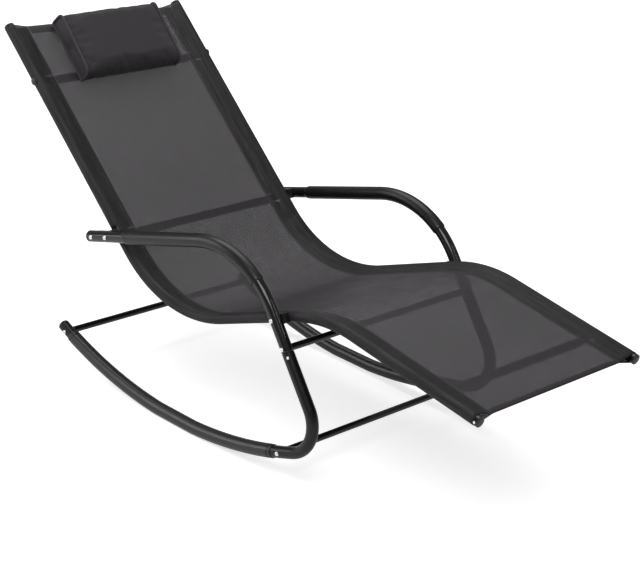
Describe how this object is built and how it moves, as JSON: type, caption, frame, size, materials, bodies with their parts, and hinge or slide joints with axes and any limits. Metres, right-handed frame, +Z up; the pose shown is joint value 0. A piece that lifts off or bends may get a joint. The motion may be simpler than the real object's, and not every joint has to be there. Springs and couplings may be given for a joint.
{
  "type": "outdoor rocking chair",
  "caption": "Outdoor rocking chair: a mesh sling on bent steel rails, hung in tubular rocker frames with foam armrests, with a head pillow that lifts off the top of the sling.",
  "frame": {"origin": "on the floor, under the middle of the chair's length and width", "axes": "+Z up; +Y towards the head end; -Y towards the foot end; +X to the sitter's left"},
  "size_m": [0.6462, 1.5864, 0.8051],
  "materials": {
    "black_tube": "gloss",
    "black_plastic": "satin",
    "grip_foam": "matte",
    "sling_mesh": "matte",
    "pillow_cloth": "matte",
    "zinc_steel": "satin"
  },
  "bodies": {
    "chair": {"right_back_rail": "black_tube", "left_back_rail": "black_tube", "right_seat_rail": "black_tube", "left_seat_rail": "black_tube", "right_arm_tube": "black_tube", "left_arm_tube": "black_tube", "right_rocker_tube": "black_tube", "left_rocker_tube": "black_tube", "upper_sling_bar": "black_tube", "lumbar_sling_bar": "black_tube", "foot_sling_bar": "black_tube", "leg_crossbar": "black_tube", "toe_crossbar": "black_tube", "rear_crossbar": "black_tube", "right_rocker_sleeve": "black_plastic", "left_rocker_sleeve": "black_plastic", "right_arm_bracket": "black_plastic", "left_arm_bracket": "black_plastic", "right_seat_spacer": "black_plastic", "left_seat_spacer": "black_plastic", "right_head_plug": "black_plastic", "left_head_plug": "black_plastic", "right_foot_plug": "black_plastic", "left_foot_plug": "black_plastic", "right_arm_plug": "black_plastic", "left_arm_plug": "black_plastic", "right_rocker_plug": "black_plastic", "left_rocker_plug": "black_plastic", "right_upper_bar_cap": "black_plastic", "left_upper_bar_cap": "black_plastic", "right_foot_bar_pin": "zinc_steel", "left_foot_bar_pin": "zinc_steel", "right_arm_grip": "grip_foam", "left_arm_grip": "grip_foam", "sling": "sling_mesh", "right_arm_bolt_front": "zinc_steel", "left_arm_bolt_front": "zinc_steel", "right_arm_bolt_rear": "zinc_steel", "left_arm_bolt_rear": "zinc_steel", "right_seat_bolt": "zinc_steel", "left_seat_bolt": "zinc_steel", "right_leg_bar_bolt": "zinc_steel", "left_leg_bar_bolt": "zinc_steel", "right_toe_bar_bolt": "zinc_steel", "left_toe_bar_bolt": "zinc_steel", "right_rear_bar_bolt": "zinc_steel", "left_rear_bar_bolt": "zinc_steel", "right_arm_nut": "zinc_steel", "left_arm_nut": "zinc_steel", "right_seat_nut": "zinc_steel", "left_seat_nut": "zinc_steel", "right_foot_screw": "zinc_steel", "left_foot_screw": "zinc_steel", "right_snap_spring": "zinc_steel", "left_snap_spring": "zinc_steel"},
    "pillow": {"head_pillow": "pillow_cloth", "pillow_flap": "pillow_cloth"},
    "right_button": {"right_snap_button": "zinc_steel"},
    "left_button": {"left_snap_button": "zinc_steel"}
  },
  "joints": [
    {"name": "pillow_lift", "type": "slide", "parent": "chair", "child": "pillow", "axis": [0, 0.7524, 0.6587], "range_m": [0, 0.15]},
    {"name": "right_button_press", "type": "slide", "parent": "chair", "child": "right_button", "axis": [0.866, 0.4014, -0.2981], "range_m": [0, 0.0045], "stiffness_N_per_m": 600, "deforming": ["right_snap_spring"]},
    {"name": "left_button_press", "type": "slide", "parent": "chair", "child": "left_button", "axis": [-0.866, 0.4014, -0.2981], "range_m": [0, 0.0045], "stiffness_N_per_m": 600, "deforming": ["left_snap_spring"]}
  ]
}
